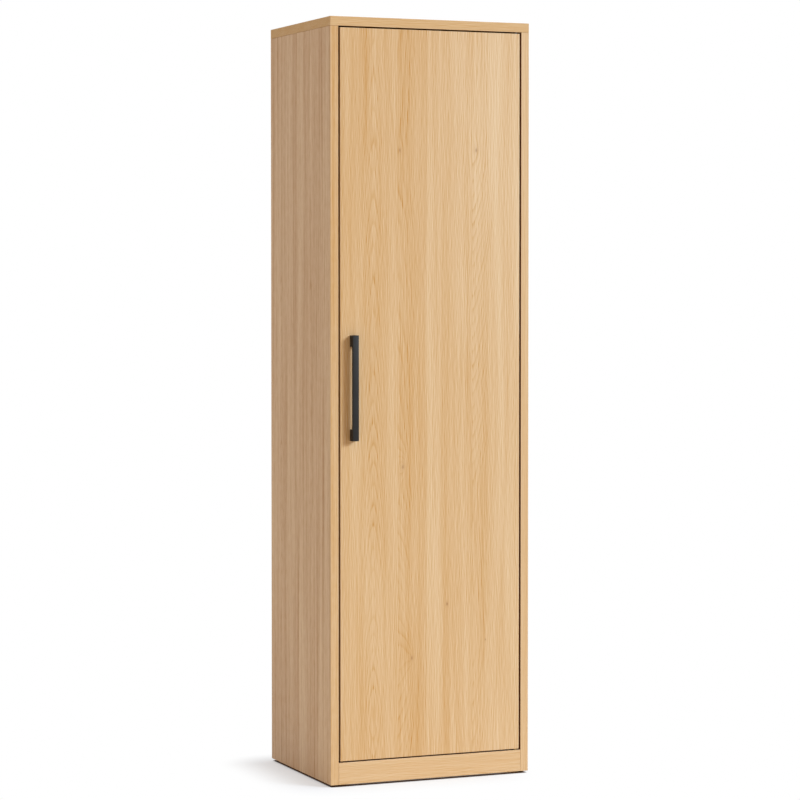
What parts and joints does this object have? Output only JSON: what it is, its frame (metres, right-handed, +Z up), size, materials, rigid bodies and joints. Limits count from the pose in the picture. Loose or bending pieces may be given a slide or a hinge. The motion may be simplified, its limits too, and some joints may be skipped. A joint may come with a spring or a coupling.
{
  "type": "gym locker",
  "caption": "Tall narrow oak-veneer locker with an inset pivot-hung door, black bar handle, plinth, hat shelf and coat hooks inside.",
  "frame": {"origin": "on the floor, under the centre of the outline's bounding box, handle included", "axes": "+Z up, -Y out of the door's front, +X to the right seen from the front, towards the hinge side"},
  "size_m": [0.51, 0.42, 1.8],
  "materials": {
    "oak_veneer": "satin oak veneer on board",
    "hardboard": "oak-faced thin board",
    "beech": "raw fluted beech",
    "black_metal": "satin black powder coat",
    "black_nylon": "matt moulded nylon",
    "steel": "zinc plated",
    "brass": "turned brass",
    "white_plastic": "moulded off-white plastic"
  },
  "bodies": {
    "carcass": {"left_side_panel": "oak_veneer", "right_side_panel": "oak_veneer", "top_panel": "oak_veneer", "floor_panel": "oak_veneer", "back_panel": "hardboard", "front_plinth": "oak_veneer", "rear_plinth": "oak_veneer", "hat_shelf": "oak_veneer", "shelf_pin_front_left": "steel", "shelf_pin_front_right": "steel", "shelf_pin_rear_left": "steel", "shelf_pin_rear_right": "steel", "hook_rail": "oak_veneer", "coat_hook_left": "black_metal", "coat_hook_left_screw_upper": "steel", "coat_hook_left_screw_lower": "steel", "coat_hook_right": "black_metal", "coat_hook_right_screw_upper": "steel", "coat_hook_right_screw_lower": "steel", "foot_front_left": "black_nylon", "foot_front_right": "black_nylon", "foot_rear_left": "black_nylon", "foot_rear_right": "black_nylon", "top_dowel_front_left": "beech", "top_dowel_rear_left": "beech", "top_dowel_front_right": "beech", "top_dowel_rear_right": "beech", "floor_dowel_front_left": "beech", "floor_dowel_rear_left": "beech", "floor_dowel_front_right": "beech", "floor_dowel_rear_right": "beech", "front_plinth_dowel_left": "beech", "front_plinth_dowel_right": "beech", "rear_plinth_dowel_left": "beech", "rear_plinth_dowel_right": "beech", "hook_rail_dowel_left": "beech", "hook_rail_dowel_right": "beech", "catch_case": "white_plastic", "catch_screw_left": "steel", "catch_screw_right": "steel", "bottom_pivot_plate": "steel", "bottom_pivot_pin": "steel", "bottom_pivot_screw_1": "steel", "bottom_pivot_screw_2": "steel", "bottom_washer": "brass", "top_pivot_plate": "steel", "top_pivot_pin": "steel", "top_pivot_screw_1": "steel", "top_pivot_screw_2": "steel"},
    "door": {"door_panel": "oak_veneer", "bottom_bush": "brass", "top_bush": "brass", "handle_bar": "black_metal", "handle_post_upper": "black_metal", "handle_post_lower": "black_metal", "handle_screw_upper": "steel", "handle_screw_lower": "steel", "strike_plate": "steel", "strike_screw": "steel"}
  },
  "joints": [
    {"name": "door_hinge", "type": "hinge", "parent": "carcass", "child": "door", "pos_m": [0.224, -0.183, 0.9], "axis": [0, 0, 1], "range_deg": [0, 110]}
  ]
}
